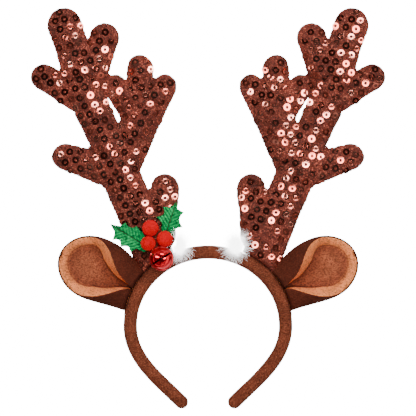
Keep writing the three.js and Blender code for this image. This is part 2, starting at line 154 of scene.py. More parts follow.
def stretched_cloud(tree, scale, turn=0.0, **sockets):
    mapped = node(
        tree, "ShaderNodeMapping", {"Vector": object_place(tree), "Rotation": (0.0, 0.0, turn), "Scale": scale},
    )
    return cloud(tree, 1.0, Vector=mapped.outputs[0], **sockets)


def span(tree, value, low, high, to_low=0.0, to_high=1.0):
    """One range of values made into another and held at its ends."""
    limits = {"From Min": low, "From Max": high, "To Min": to_low, "To Max": to_high}
    return node(tree, "ShaderNodeMapRange", {"Value": value, **limits}).outputs[0]


def maths(tree, operation, one, two, clamp=False):
    return node(tree, "ShaderNodeMath", {0: one, 1: two}, operation=operation, use_clamp=clamp).outputs[0]


def scaled(tree, value, factor, shift=0.0, clamp=False):
    sockets = {0: value, 1: factor, 2: shift}
    return node(tree, "ShaderNodeMath", sockets, operation="MULTIPLY_ADD", use_clamp=clamp).outputs[0]


def mix_colour(tree, factor, one, two):
    return node(tree, "ShaderNodeMix", {0: factor, 6: one, 7: two}, data_type="RGBA").outputs[2]


def brightened(tree, colour, value):
    return node(tree, "ShaderNodeHueSaturation", {"Color": colour, "Value": value}).outputs[0]


def attribute(tree, name):
    return node(tree, "ShaderNodeAttribute", attribute_name=name).outputs["Fac"]


# Shader groups: named inputs and outputs, placed in each material with its own values.
def new_group(name, inputs, outputs):
    """An empty group, its inputs' outputs and its end; a tuple as first value makes a colour socket."""
    tree = bpy.data.node_groups.new(name, "ShaderNodeTree")
    for socket, value in inputs.items():
        kind = "NodeSocketColor" if isinstance(value, tuple) else "NodeSocketFloat"
        tree.interface.new_socket(socket, in_out="INPUT", socket_type=kind).default_value = value
    for socket in outputs:
        kind = "NodeSocketColor" if socket == "Colour" else "NodeSocketFloat"
        tree.interface.new_socket(socket, in_out="OUTPUT", socket_type=kind)
    return tree, tree.nodes.new("NodeGroupInput").outputs, tree.nodes.new("NodeGroupOutput")


def build_nap_group():
    """Velour: streaky nap, patches where it is brushed another way, and a fine pile for the bump."""
    tree, given, end = new_group(
        "Nap",
        {
            "Colour": tint(0.5, 0.5, 0.5), "Dark": tint(0.1, 0.1, 0.1), "Light": tint(0.8, 0.8, 0.8),
            "Pile Scale": 1500.0, "Patch Scale": 60.0, "Contrast": 0.6,
        },
        ("Colour", "Height", "Roughness"),
    )
    pile = cloud(tree, given["Pile Scale"], Detail=3.0, Roughness=0.7)
    patch = cloud(tree, given["Patch Scale"], Detail=4.0, Distortion=0.8)
    streak = stretched_cloud(tree, (700.0, 1300.0, 900.0), Detail=2.0)
    grain = maths(tree, "ADD", scaled(tree, pile, -4.0, 2.0), scaled(tree, streak, -3.0, 1.5))
    dark_mask = maths(tree, "MULTIPLY", grain, given["Contrast"], clamp=True)
    light_mask = maths(tree, "MULTIPLY", scaled(tree, grain, -1.0), given["Contrast"], clamp=True)
    darkened = mix_colour(tree, dark_mask, given["Colour"], given["Dark"])
    grained = mix_colour(tree, light_mask, darkened, given["Light"])
    put(tree, end, {
        "Colour": brightened(tree, grained, span(tree, patch, 0.38, 0.66, 0.82, 1.16)),
        "Height": maths(tree, "ADD", pile, scaled(tree, patch, 0.35)),
        "Roughness": scaled(tree, pile, 0.2, 0.78, clamp=True),
    })
    return tree


def build_lint_group():
    """Fine specks of lint that settle unevenly on the cloth."""
    tree, given, end = new_group(
        "Lint",
        {"Colour": tint(0.5, 0.5, 0.5), "Lint Colour": tint(0.8, 0.7, 0.6), "Amount": 0.1, "Scale": 900.0},
        ("Colour",),
    )
    specks = node(tree, "ShaderNodeTexVoronoi", {"Vector": object_place(tree), "Scale": given["Scale"]})
    near = span(tree, specks.outputs["Distance"], 0.16, 0.04)
    settled = span(tree, cloud(tree, 45.0), 0.45, 0.7)
    mask = maths(tree, "MULTIPLY", near, settled)
    amount = maths(tree, "MULTIPLY", mask, given["Amount"], clamp=True)
    put(tree, end, {"Colour": mix_colour(tree, amount, given["Colour"], given["Lint Colour"])})
    return tree


def build_glitter_group():
    """Glitter cloth: small flat flakes, each with its own tone and tilt, the brightest painted as glints."""
    tree, given, end = new_group(
        "Glitter",
        {
            "Base": tint(0.2, 0.05, 0.03), "Shade": tint(0.05, 0.01, 0.01), "Spark": tint(0.8, 0.4, 0.3),
            "Flake Scale": 800.0,
        },
        ("Colour", "Height", "Roughness", "Metal"),
    )
    flakes = node(tree, "ShaderNodeTexVoronoi", {"Vector": object_place(tree), "Scale": given["Flake Scale"]})
    tone, shine, tilt = node(tree, "ShaderNodeSeparateColor", {0: flakes.outputs["Color"]}).outputs
    shaded = mix_colour(tree, span(tree, tone, 0.55, 0.0), given["Base"], given["Shade"])
    # Painted glints: the brightest flakes are painted a pale copper, and are partly metal so that they also catch
    # real reflections.
    spark = span(tree, shine, 0.8, 1.0)
    sparked = mix_colour(tree, spark, shaded, given["Spark"])
    worn = span(tree, cloud(tree, 70.0, Detail=3.0), 0.35, 0.68, 0.66, 1.35)
    put(tree, end, {
        "Colour": brightened(tree, sparked, worn),
        "Height": maths(tree, "ADD", tilt, scaled(tree, flakes.outputs["Distance"], 1.2)),
        "Roughness": scaled(tree, tone, 0.3, 0.45),
        "Metal": scaled(tree, spark, 0.3),
    })
    return tree


NAP = build_nap_group()
LINT = build_lint_group()
GLITTER = build_glitter_group()


def material(name, roughness=0.8, metallic=0.0):
    made = bpy.data.materials.new(name)
    made.use_nodes = True
    shader = made.node_tree.nodes["Principled BSDF"]
    put(made.node_tree, shader, {"Roughness": roughness, "Metallic": metallic})
    return made, made.node_tree, shader


def group(tree, source, sockets):
    return node(tree, "ShaderNodeGroup", sockets, node_tree=source)


def bump(tree, shader, height, strength, distance_mm):
    made = node(tree, "ShaderNodeBump", {
        "Height": height, "Strength": strength, "Distance": distance_mm * MM,
    })
    put(tree, shader, {"Normal": made.outputs[0]})


def camera_glow(tree, shader, strength, colour=tint(1.0, 1.0, 1.0)):
    """Light that only the camera sees, for what the studio light washes out to white."""
    seen = scaled(tree, node(tree, "ShaderNodeLightPath").outputs["Is Camera Ray"], strength)
    put(tree, shader, {"Emission Color": colour, "Emission Strength": seen})


def finish_velour(tree, shader, nap, light, lint_amount, lint_scale, sheen, sheen_roughness):
    """What both kinds of velour share: lint over the nap, and a weak sheen."""
    lint = group(tree, LINT, {
        "Colour": nap.outputs["Colour"], "Lint Colour": light, "Amount": lint_amount, "Scale": lint_scale,
    })
    put(tree, shader, {
        "Base Color": lint.outputs["Colour"], "Roughness": nap.outputs["Roughness"],
        "Sheen Weight": sheen, "Sheen Roughness": sheen_roughness, "Sheen Tint": light,
        "Specular IOR Level": 0.08,
    })


def velour(name, colour, dark, light, contrast):
    made, tree, shader = material(name)
    nap = group(tree, NAP, {
        "Colour": colour, "Dark": dark, "Light": light, "Contrast": contrast,
        "Pile Scale": 850.0, "Patch Scale": 60.0,
    })
    finish_velour(tree, shader, nap, light, 0.18, 700.0, 0.12, 0.45)
    bump(tree, shader, nap.outputs["Height"], 0.5, 0.5)
    return made


def build_lining_material():
    """Tan velour with painted shade: palest on the rolled border, painted darker on the sunk floor, most just
    inside the border, and darkest in the crease between, a painted shadow.
    """
    made, tree, shader = material("Ear Lining Velour")
    # Painted shade: the floor beside the border is painted darker, lifting towards the floor's middle, and the
    # crease is painted near black as the step's shadow.
    base = mix_colour(tree, attribute(tree, "border"), tint(0.25, 0.06, 0.027), tint(1.0, 0.3, 0.1))
    base = mix_colour(tree, scaled(tree, attribute(tree, "floor"), 0.7), base, tint(0.4, 0.115, 0.05))
    base = mix_colour(tree, attribute(tree, "crease"), base, tint(0.07, 0.013, 0.005))
    nap = group(tree, NAP, {
        "Colour": base, "Dark": brightened(tree, base, 0.5), "Light": brightened(tree, base, 1.4),
        "Contrast": 1.5, "Pile Scale": 620.0, "Patch Scale": 75.0,
    })
    finish_velour(tree, shader, nap, tint(0.8, 0.35, 0.15), 0.07, 800.0, 0.15, 0.4)
    bump(tree, shader, nap.outputs["Height"], 0.6, 0.6)
    return made


def build_glitter_material():
    made, tree, shader = material("Antler Glitter Cloth")
    flakes = group(tree, GLITTER, {
        "Base": tint(0.2, 0.036, 0.021), "Shade": tint(0.045, 0.007, 0.004), "Spark": tint(0.58, 0.14, 0.085),
        "Flake Scale": 1050.0,
    })
    put(tree, shader, {
        "Base Color": flakes.outputs["Colour"], "Roughness": flakes.outputs["Roughness"],
        "Metallic": flakes.outputs["Metal"], "Specular IOR Level": 0.12,
    })
    bump(tree, shader, flakes.outputs["Height"], 0.8, 0.5)
    return made


def build_sequin_material():
    """Ring sequins of copper foil: nearly a mirror, scuffed a little, some rings paler than others."""
    made, tree, shader = material("Sequin Foil", 0.16, 1.0)
    scuffs = cloud(tree, 1400.0)
    copper = mix_colour(tree, attribute(tree, "tone"), tint(0.66, 0.13, 0.08), tint(0.95, 0.36, 0.26))
    put(tree, shader, {
        "Base Color": mix_colour(tree, scaled(tree, scuffs, 0.25), copper, tint(0.3, 0.06, 0.04)),
        "Roughness": scaled(tree, scuffs, 0.14, 0.05),
    })
    return made


def build_fur_material():
    """White fibres, painted a little greyer at their roots as shade deep in the puff, some darker than others,
    with a painted glow that only the camera sees.
    """
    made, tree, shader = material("White Fur", 0.8)
    root = mix_colour(tree, attribute(tree, "along"), tint(0.74, 0.72, 0.74), tint(0.95, 0.95, 0.95))
    shaded = mix_colour(tree, scaled(tree, attribute(tree, "tone"), 0.5), root, tint(0.62, 0.58, 0.6))
    put(tree, shader, {"Base Color": shaded, "Specular IOR Level": 0.2})
    camera_glow(tree, shader, 6.5)
    return made


def build_pompom_material():
    made, tree, shader = material("Red Pompom Fibre", 0.85)
    fibre = mix_colour(tree, attribute(tree, "tone"), tint(0.98, 0.0, 0.012), tint(0.45, 0.0, 0.004))
    tuft = maths(tree, "SUBTRACT", cloud(tree, 700.0), 0.45, clamp=True)
    clumped = mix_colour(tree, scaled(tree, tuft, 2.0, clamp=True), fibre, tint(1.0, 0.004, 0.03))
    put(tree, shader, {"Base Color": clumped, "Specular IOR Level": 0.04})
    camera_glow(tree, shader, 0.2, tint(1.0, 0.0, 0.01))
    return made


def build_foil_material():
    """Shiny green foil: crinkled, painted paler and darker with the crinkles as reflection and shade, with dark
    lines of painted shade pressed beside the ribs and a midrib painted darker as shade.
    """
    made, tree, shader = material("Holly Foil", 0.3, 0.35)
    crinkle = cloud(tree, 420.0, Detail=4.0, Distortion=1.2)
    # Painted reflection and shade: paler on the crinkles' rises and darker in their dips, and darker still in the
    # pressed rib grooves and in the midrib's groove.
    base = mix_colour(tree, span(tree, crinkle, 0.38, 0.62), tint(0.0, 0.13, 0.026), tint(0.0, 0.45, 0.11))
    ribbed = mix_colour(tree, scaled(tree, attribute(tree, "rib"), 0.95), base, tint(0.0, 0.02, 0.008))
    put(tree, shader, {
        "Base Color": mix_colour(tree, attribute(tree, "midrib"), ribbed, tint(0.02, 0.008, 0.004)),
        "Roughness": scaled(tree, crinkle, 0.25, 0.32), "Specular IOR Level": 0.08,
    })
    bump(tree, shader, crinkle, 0.6, 0.5)
    return made


def build_bell_material():
    """Red lacquered metal: hazy, painted paler on the bead of the seam as a reflection, and streaked by its
    drawing.
    """
    made, tree, shader = material("Red Bell Metal", 0.1, 0.93)
    haze = cloud(tree, 320.0, Detail=5.0)
    # Painted reflection: the bead round the bell's middle, its outline from above, is painted paler.
    worn = scaled(tree, attribute(tree, "worn"), 0.45)
    base = mix_colour(tree, worn, tint(0.86, 0.016, 0.03), tint(0.98, 0.16, 0.16))
    put(tree, shader, {
        "Base Color": mix_colour(tree, scaled(tree, haze, 0.2), base, tint(0.3, 0.001, 0.006)),
        "Roughness": scaled(tree, haze, 0.14, 0.06),
    })
    bump(tree, shader, stretched_cloud(tree, (260.0, 45.0, 90.0), -0.25), 0.5, 1.0)
    return made


def build_inside_shade_material():
    """The inside of the bell, unpainted metal, here painted near black as the shade within, so that it shows
    through the slit as black.
    """
    made, tree, shader = material("Bell Inside", 0.7)
    base = mix_colour(tree, cloud(tree, 500.0), tint(0.004, 0.001, 0.001), tint(0.012, 0.003, 0.003))
    put(tree, shader, {"Base Color": base, "Specular IOR Level": 0.1})
    return made


def build_steel_material():
    made, tree, shader = material("Pellet Steel", 0.35, 1.0)
    base = mix_colour(tree, cloud(tree, 900.0), tint(0.1, 0.1, 0.1), tint(0.03, 0.03, 0.03))
    put(tree, shader, {"Base Color": base})
    return made


band_cloth = velour(
    "Band Velour", tint(0.165, 0.035, 0.015), tint(0.05, 0.008, 0.003), tint(0.4, 0.12, 0.06), 0.9,
)
ear_cloth = velour(
    "Ear Velour", tint(0.085, 0.016, 0.007), tint(0.04, 0.006, 0.002), tint(0.15, 0.036, 0.018), 0.7,
)
lining_cloth = build_lining_material()
glitter_cloth = build_glitter_material()
sequin_foil = build_sequin_material()
fur_white = build_fur_material()
pompom_red = build_pompom_material()
holly_foil = build_foil_material()
bell_metal = build_bell_material()
bell_inside_shade = build_inside_shade_material()
pellet_steel = build_steel_material()


# Meshes, from points in millimetres.
def mesh_object(name, points, faces, finish=None, smooth=True, attributes=None):
    mesh = bpy.data.meshes.new(name)
    mesh.from_pydata((np.asarray(points) * MM).tolist(), [], [list(map(int, f)) for f in faces])
    if finish is not None:
        mesh.materials.append(finish)
    mesh.polygons.foreach_set("use_smooth", np.full(len(mesh.polygons), smooth))
    for key, values in (attributes or {}).items():
        layer = mesh.attributes.new(key, "FLOAT", "POINT")
        layer.data.foreach_set("value", np.asarray(values, dtype=np.float32))
    mesh.update()
    made = bpy.data.objects.new(name, mesh)
    bpy.context.scene.collection.objects.link(made)
    return made


def baked(thing):
    """The mesh with its modifiers applied, and the modifiers gone."""
    graph = bpy.context.evaluated_depsgraph_get()
    mesh = bpy.data.meshes.new_from_object(thing.evaluated_get(graph))
    old = thing.data
    thing.modifiers.clear()
    thing.data = mesh
    mesh.name = thing.name
    bpy.data.meshes.remove(old)
    return thing


def vectors_of(items, key):
    flat = np.empty(len(items) * 3, dtype=np.float32)
    items.foreach_get(key, flat)
    return flat.reshape(-1, 3).astype(float)


def points_of(thing):
    return vectors_of(thing.data.vertices, "co") / MM


def set_points(thing, points):
    thing.data.vertices.foreach_set("co", (np.asarray(points) * MM).astype(np.float32).ravel())
    thing.data.update()


def normals_of(thing):
    return vectors_of(thing.data.vertex_normals, "vector")


def noise_at(points, scale_mm, seed):
    """Smooth noise between about -1 and 1, for each point, with features of that size."""
    shift = Vector((seed * 13.7, seed * 5.1, seed * 9.3))
    return np.array([noise.noise(Vector(p / scale_mm) + shift) for p in points])


def mirror_piece(piece, name):
    """The same piece on the other side, with its faces turned back outward."""
    other = piece.copy()
    other.data = piece.data.copy()
    other.name = name
    other.data.name = name
    bpy.context.scene.collection.objects.link(other)
    points = points_of(other)
    points[:, 0] *= -1
    other.data.flip_normals()
    set_points(other, points)
    return other


def icosphere(level):
    """Points and faces of a round ball of radius 1."""
    made = bpy.data.meshes.new("ball")
    work = bmesh.new()
    bmesh.ops.create_icosphere(work, subdivisions=level, radius=1.0)
    work.to_mesh(made)
    work.free()
    points = np.array([v.co[:] for v in made.vertices])
    faces = [tuple(p.vertices) for p in made.polygons]
    bpy.data.meshes.remove(made)
    return points, faces


def grid_faces(rows, columns, close_rows=False, close_columns=False):
    faces = []
    for i in range(rows if close_rows else rows - 1):
        this_row = i * columns
        next_row = (i + 1) % rows * columns
        for j in range(columns if close_columns else columns - 1):
            k = (j + 1) % columns
            faces.append((this_row + j, this_row + k, next_row + k, next_row + j))
    return faces


def tube_rings(rings):
    """Points and outward faces of a closed tube through rings of equal length."""
    rings = np.asarray(rings)
    count, sides = rings.shape[:2]
    points = np.vstack([rings.reshape(-1, 3), rings[0].mean(0), rings[-1].mean(0)])
    faces = grid_faces(count, sides, close_columns=True)
    last_ring = (count - 1) * sides
    for j in range(sides):
        k = (j + 1) % sides
        faces.append((k, j, len(points) - 2))
        faces.append((last_ring + j, last_ring + k, len(points) - 1))
    return points, faces


def sheet_faces(rows, columns):
    """The faces of two stacked grids, the first facing up, and of the four narrow sides that close them."""
    count = rows * columns
    faces = grid_faces(rows, columns)
    faces += [tuple(k + count for k in reversed(face)) for face in faces]
    sides = []
    for i in range(rows - 1):
        sides.append((i * columns, columns, False))
        sides.append(((i + 1) * columns - 1, columns, True))
    for j in range(columns - 1):
        sides.append((j, 1, True))
        sides.append(((rows - 1) * columns + j, 1, False))
    for a, step, flip in sides:
        quad = (a, a + step, a + step + count, a + count)
        faces.append(quad[::-1] if flip else quad)
    return faces


# Geometry nodes: one group that sets a small piece on each point of a mesh, turned along an attribute.
def build_scatter_group():
    tree = bpy.data.node_groups.new("Scatter Along", "GeometryNodeTree")
    inputs = {
        "Geometry": "Geometry", "Piece": "Object", "Tilt": "Float", "Least Size": "Float",
        "Most Size": "Float", "Seed": "Int", "Finish": "Material",
    }
    for name, kind in inputs.items():
        tree.interface.new_socket(name, in_out="INPUT", socket_type="NodeSocket" + kind)
    tree.interface.new_socket("Geometry", in_out="OUTPUT", socket_type="NodeSocketGeometry")
    given = tree.nodes.new("NodeGroupInput").outputs
    end = tree.nodes.new("NodeGroupOutput")

    def add(kind, sockets, output=0, **settings):
        return node(tree, kind, sockets, **settings).outputs[output]

    def random(first, low, high, output, kind):
        sockets = {first: low, first + 1: high, "Seed": given["Seed"]}
        return add("FunctionNodeRandomValue", sockets, output, data_type=kind)

    way = add("GeometryNodeInputNamedAttribute", {"Name": "way"}, "Attribute", data_type="FLOAT_VECTOR")
    turn = add("FunctionNodeAlignRotationToVector", {"Vector": way}, axis="Z")
    lean = random(0, (-1.0, -1.0, 0.0), (1.0, 1.0, 0.0), 0, "FLOAT_VECTOR")
    leaned = add("ShaderNodeVectorMath", {0: lean, "Scale": given["Tilt"]}, operation="SCALE")
    spun = random(0, (0.0, 0.0, 0.0), (0.0, 0.0, FULL_TURN), 0, "FLOAT_VECTOR")
    for angles in (leaned, spun):
        more = add("FunctionNodeEulerToRotation", {0: angles})
        turn = add("FunctionNodeRotateRotation", {"Rotation": turn, "Rotate By": more}, rotation_space="LOCAL")
    placed = add("GeometryNodeInstanceOnPoints", {
        "Points": given["Geometry"],
        "Instance": add("GeometryNodeObjectInfo", {"Object": given["Piece"]}, "Geometry"),
        "Rotation": turn,
        "Scale": random(2, given["Least Size"], given["Most Size"], 1, "FLOAT"),
    })
    real = add("GeometryNodeRealizeInstances", {"Geometry": placed})
    dressed = add("GeometryNodeSetMaterial", {"Geometry": real, "Material": given["Finish"]})
    put(tree, end, {"Geometry": dressed})
    return tree


SCATTER = build_scatter_group()


def scatter(name, points, ways, piece, finish, tilt, least, most, seed, attributes=None):
    """A plain mesh of copies of the piece, one on each point, with its length axis along that point's way."""
    holder = mesh_object(name, points, [], attributes=attributes)
    layer = holder.data.attributes.new("way", "FLOAT_VECTOR", "POINT")
    layer.data.foreach_set("vector", np.asarray(ways, dtype=np.float32).ravel())
    modifier = holder.modifiers.new("Scatter", "NODES")
    modifier.node_group = SCATTER
    values = {
        "Piece": piece, "Tilt": tilt, "Least Size": least, "Most Size": most, "Seed": seed, "Finish": finish,
    }
    for item in SCATTER.interface.items_tree:
        if item.in_out == "INPUT" and item.name in values:
            modifier[item.identifier] = values[item.name]
    holder.update_tag()
    bpy.context.view_layer.update()
    baked(holder)
    bpy.data.objects.remove(piece)
    return holder


def join(name, pieces):
    """Joins finished meshes into one piece, keeping their materials."""
    with bpy.context.temp_override(
        active_object=pieces[0], selected_objects=pieces, selected_editable_objects=pieces,
    ):
        bpy.ops.object.join()
    pieces[0].name = name
    pieces[0].data.name = name
    return pieces[0]


def finish_piece(piece, slot, *nodes, fill=None):
    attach(piece, "root")
    if nodes:
        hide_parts(*nodes)


# The band: a padded velour tube along the arch, with shallow dents and a nap.
def bezier(points, at):
    a, b, c, d = (np.array(p, dtype=float) for p in points)
    at = np.asarray(at)[:, None]
    return (1 - at) ** 3 * a + 3 * (1 - at) ** 2 * at * b + 3 * (1 - at) * at ** 2 * c + at ** 3 * d


def band_line(count):
    """Evenly spaced points along the band's middle, from the left end over the crown to the right one."""
    middle = BAND_DEPTH / 2
    quarter = 0.552
    end_half = BAND_END_SPREAD / 2
    share = np.linspace(0, 1, 400)
    arch = bezier(
        [
            (0, ARCH_RISE, middle), (ARCH_HALF * quarter, ARCH_RISE, middle),
            (ARCH_HALF, ARCH_RISE * quarter, middle), (ARCH_HALF, 0, middle),
        ],
        share,
    )
    side = bezier(
        [
            (ARCH_HALF, 0, middle), (ARCH_HALF, -BAND_DROP * 0.42, middle),
            ((ARCH_HALF + end_half) * 0.485, -BAND_DROP * 0.69, middle), (end_half, -BAND_DROP, middle),
        ],
        share,
    )
    half = np.vstack([arch, side[1:]])
    line = np.vstack([half[::-1] * (-1, 1, 1), half[1:]])
    step = np.linalg.norm(np.diff(line, axis=0), axis=1)
    run = np.concatenate([[0], np.cumsum(step)])
    even = np.linspace(0, run[-1], count)
    return np.stack([np.interp(even, run, line[:, k]) for k in range(3)], axis=1)


def build_band():
    stations = 260
    sides = 56
    reach = BAND_THICKNESS / 2
    line = band_line(stations)
    along = unit(np.gradient(line, axis=0))
    out = np.stack([-along[:, 1], along[:, 0], np.zeros(stations)], axis=1)
    turn = (np.arange(sides) + 0.5) / sides * FULL_TURN
    across, up = (np.sign(wave) * np.abs(wave) ** (2 / BAND_SQUARENESS) for wave in (np.cos(turn), np.sin(turn)))

    def ring(point, side, share):
        """One section; at the round ends it narrows by that share and flattens less."""
        lift = 1 - (1 - share) * 0.62
        return (
            point
            + side * (across * reach * share)[:, None]
            + np.array([0, 0, 1.0]) * (up * (BAND_DEPTH / 2 - PADDING_INSET) * lift)[:, None]
        )

    def end_rings(k, way):
        angles = [math.radians(degrees) for degrees in (12, 24, 36, 48, 60, 70, 79, 86)]
        return [ring(line[k] + along[k] * way * reach * math.sin(a), out[k], math.cos(a)) for a in angles]

    middle_rings = [ring(line[k], out[k], 1.0) for k in range(stations)]
    points, faces = tube_rings(end_rings(0, -1)[::-1] + middle_rings + end_rings(-1, 1))
    points[:, 1] += HOOP_Y
    piece = mesh_object("headband_padded", points, faces, band_cloth)
    dents = noise_at(points, 16, 3) * 0.14 + noise_at(points, 5, 4) * 0.07
    moved = points + normals_of(piece) * (dents - 0.12)[:, None]
    moved[:, 2] = np.maximum(moved[:, 2], FLOOR_GAP)
    set_points(piece, moved)
    return piece


# The antlers: rounded limbs blended into one stuffed skin, with sequins over both faces.
LIMBS = [
    # (out, up) of reach and height to (out, up), then the half widths at root and tip, of half the trunk
    ("trunk", 0.013, -0.008, 0.26, 0.354, 0.97, 0.98),
    ("lower inner tine", 0.005, 0.099, -0.043, 0.287, 0.88, 0.71),
    ("lower outer tine", 0.357, 0.361, 0.629, 0.412, 0.83, 0.64),
    ("upper stem", 0.303, 0.425, 0.503, 0.68, 0.87, 0.89),
    ("outer tine", 0.523, 0.642, 0.767, 0.728, 0.72, 0.65),
    ("top tine", 0.53, 0.759, 0.627, 0.933, 0.86, 0.85),
    ("second tine", 0.443, 0.727, 0.362, 0.884, 0.75, 0.74),
    ("inner stem", 0.223, 0.375, 0.11, 0.569, 0.8, 0.99),
    ("inner left tine", 0.13, 0.577, 0.293, 0.695, 0.9, 0.545),
    ("inner middle tine", 0.123, 0.613, 0.123, 0.763, 0.65, 0.66),
    ("inner right tine", 0.07, 0.573, -0.043, 0.692, 0.75, 0.61),
]


def hoop_edge(angle, out=0.0):
    turn = math.radians(angle)
    return np.array([(BAND_WIDTH / 2 + out) * math.cos(turn), (BAND_ARCH + out) * math.sin(turn) + HOOP_Y, 0.0])


def hoop_share(points, more=0.0):
    """How far points lie from the arch's centre, as a share of the way to its outer edge, moved out by more."""
    return np.hypot(
        points[..., 0] / (BAND_WIDTH / 2 + more), (points[..., 1] - HOOP_Y) / (BAND_ARCH + more),
    )


def limb_rings(start, stop, root, tip, sides=40):
    """A round-ended taper, flattened front to back and laid with its back level."""
    axis = stop - start
    length = float(np.linalg.norm(axis))
    axis = axis / length
    slope = math.asin((root - tip) / length)
    rows = []
    for angle in np.linspace(-math.pi / 2, slope, 10)[1:]:
        rows.append((root * math.sin(angle), root * math.cos(angle)))
    for part in np.linspace(0, 1, 12)[1:-1]:
        low = np.array([root * math.sin(slope), root * math.cos(slope)])
        high = np.array([length + tip * math.sin(slope), tip * math.cos(slope)])
        rows.append(tuple(low + (high - low) * part))
    for angle in np.linspace(slope, math.pi / 2, 10)[:-1]:
        rows.append((length + tip * math.sin(angle), tip * math.cos(angle)))
    side = np.array([-axis[1], axis[0], 0.0])
    turn = np.arange(sides) / sides * 2 * math.pi
    rings = []
    for at, radius in rows:
        middle = root + (tip - root) * at / length
        ring = (
            start + axis * at
            - side * (np.cos(turn) * radius)[:, None]
            + np.array([0, 0, ANTLER_FLATNESS]) * (np.sin(turn) * radius + middle)[:, None]
        )
        rings.append(ring)
    return tube_rings(rings)


def seat_on_band(points, gap):
    """Draws the foot of a piece up against the band: under its bulge below, and dipped at the crease above."""
    half_depth = BAND_DEPTH / 2
    dip_depth = 4.5
    dip_reach = 1.7
    side = np.clip(np.abs(points[..., 2] - half_depth) / (half_depth - PADDING_INSET), 0, 1)
    bulge = (1 - side ** BAND_SQUARENESS) ** (1 / BAND_SQUARENESS)
    tuck = BAND_THICKNESS / 2 * (1 - bulge) * (points[..., 2] < half_depth)
    away = hoop_share(points, gap - tuck)
    grow = np.where(away < 1, 1 / np.maximum(away, 1e-6), 1.0)
    out = points.copy()
    out[..., 0] = points[..., 0] * grow
    out[..., 1] = (points[..., 1] - HOOP_Y) * grow + HOOP_Y
    clear = np.maximum((hoop_share(out) - 1) * BAND_WIDTH / 2, 0)
    dip = dip_depth * np.exp(-(clear / dip_reach) ** 2) * np.clip((out[..., 2] - 6) / 10, 0, 1)
    out[..., 2] = out[..., 2] - dip
    return out


def build_antler_skin():
    foot = hoop_edge(ANTLER_SEAT)
    half = ANTLER_TRUNK / 2
    points = []
    faces = []
    for _, out, up, to_out, to_up, root, tip in LIMBS:
        start = foot + np.array([-out * ANTLER_REACH, up * ANTLER_HEIGHT, 0])
        stop = foot + np.array([-to_out * ANTLER_REACH, to_up * ANTLER_HEIGHT, 0])
        limb, skin = limb_rings(start, stop, root * half, tip * half)
        faces.extend(tuple(k + len(points) for k in face) for face in skin)
        points.extend(limb.tolist())
    piece = mesh_object("antler_skin", points, faces, glitter_cloth)
    remesh = piece.modifiers.new("Remesh", "REMESH")
    remesh.mode = "VOXEL"
    remesh.voxel_size = SKIN_VOXEL * MM
    soften = piece.modifiers.new("Soften", "SMOOTH")
    soften.factor = 0.5
    soften.iterations = 10
    baked(piece)
    stuff(piece, STUFFING_CAP)
    points = points_of(piece)
    normals = normals_of(piece)
    slack = noise_at(points, 24, 11) * 0.35 + noise_at(points, 9, 12) * 0.12
    edge = 1 - smooth_step(np.abs(normals[:, 2]) / 0.55)
    pucker = noise_at(points * (1, 1, 0.2), 3.2, 13) * 0.3 * edge
    points = seat_on_band(points + normals * (0.1 + slack + pucker)[:, None], 0.25)
    points[:, 2] = np.maximum(points[:, 2], SKIN_LIFT)
    set_points(piece, points)
    piece.data.polygons.foreach_set("use_smooth", np.full(len(piece.data.polygons), True))
    return piece


def stuff(piece, cap):
    """Fills the cloth skin by simulation: it swells and buckles beside its held seam, within a cap in mm."""
    scene = bpy.context.scene
    frames = 20
    before = points_of(piece)
    seam = piece.vertex_groups.new(name="seam")
    held = np.where(np.abs(normals_of(piece)[:, 2]) < 0.22)[0]
    seam.add(held.tolist(), 1.0, "REPLACE")
    cloth = piece.modifiers.new("Stuffing", "CLOTH")
    settings = cloth.settings
    settings.use_pressure = True
    settings.uniform_pressure_force = 4.0
    settings.effector_weights.gravity = 0.0
    settings.vertex_group_mass = "seam"
    settings.shrink_min = -0.07
    settings.tension_stiffness = 12.0
    settings.compression_stiffness = 12.0
    settings.bending_stiffness = 0.4
    cloth.collision_settings.use_collision = False
    cloth.collision_settings.use_self_collision = False
    for step in range(frames):
        scene.frame_set(step + 1)
    swollen = piece.evaluated_get(bpy.context.evaluated_depsgraph_get())
    move = vectors_of(swollen.to_mesh().vertices, "co") / MM - before
    swollen.to_mesh_clear()
    piece.modifiers.remove(cloth)
    piece.vertex_groups.remove(seam)
    scene.frame_set(1)
    size = np.linalg.norm(move, axis=1, keepdims=True)
    move *= np.minimum(1.0, cap / np.maximum(size, 1e-9))
    set_points(piece, before + np.nan_to_num(move))


def ring_sequin():
    """One shallow cupped ring of foil with eight pressed facets, as a closed thin washer."""
    sides = 16
    hole = 1.25
    cup = 1.8
    edge = SEQUIN / 2
    rows = [(hole, 0.15), (cup, 0.12), (edge, 0.17), (edge, 0.27), (cup, 0.22), (hole, 0.25)]
    points = []
    for radius, height in rows:
        for j in range(sides):
            angle = j / sides * FULL_TURN
            facet = j % 2
            wide = radius * (1 + 0.035 * facet)
            points.append((wide * math.cos(angle), wide * math.sin(angle), height + 0.014 * facet * radius / 3))
    faces = [face[::-1] for face in grid_faces(len(rows), sides, True, True)]
    return mesh_object("ring_sequin", points, faces, sequin_foil, smooth=False)


